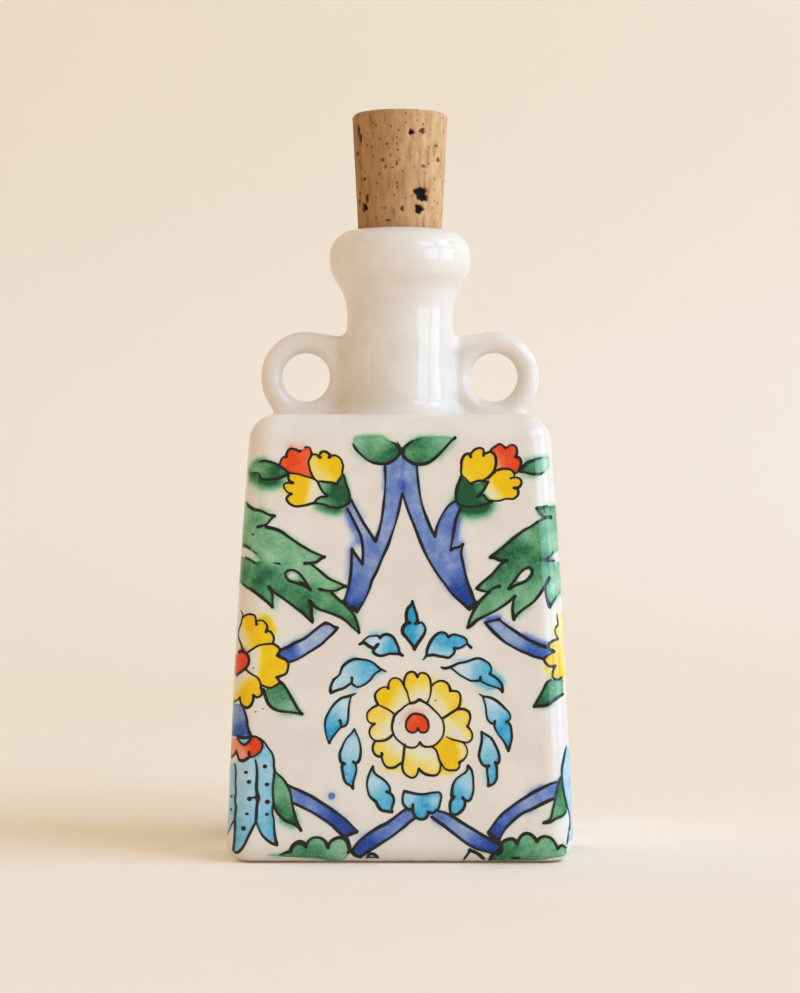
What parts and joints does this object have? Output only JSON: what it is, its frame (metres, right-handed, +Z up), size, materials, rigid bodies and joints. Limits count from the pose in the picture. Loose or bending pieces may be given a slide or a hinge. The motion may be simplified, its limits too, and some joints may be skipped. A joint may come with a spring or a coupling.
{
  "type": "bottle",
  "caption": "Square tapered glazed ceramic bottle with a turned neck, ring handles beside the neck and a tapered cork stopper, painted with a floral pattern.",
  "frame": {"origin": "on the ground under the middle of the bottle", "axes": "+Z up along the neck, +X towards the right handle, -Y towards the front"},
  "size_m": [0.0762, 0.0762, 0.1686],
  "materials": {
    "glaze": "glossy white glaze with painted decoration",
    "cork": "raw cork, matt"
  },
  "bodies": {
    "bottle": {"bottle_body": "glaze", "bottle_neck": "glaze", "left_handle": "glaze", "right_handle": "glaze"},
    "cork": {"cork_stopper": "cork"}
  },
  "joints": [
    {"name": "cork_slide", "type": "slide", "parent": "bottle", "child": "cork", "axis": [0, 0, 1], "range_m": [0, 0.045]}
  ]
}
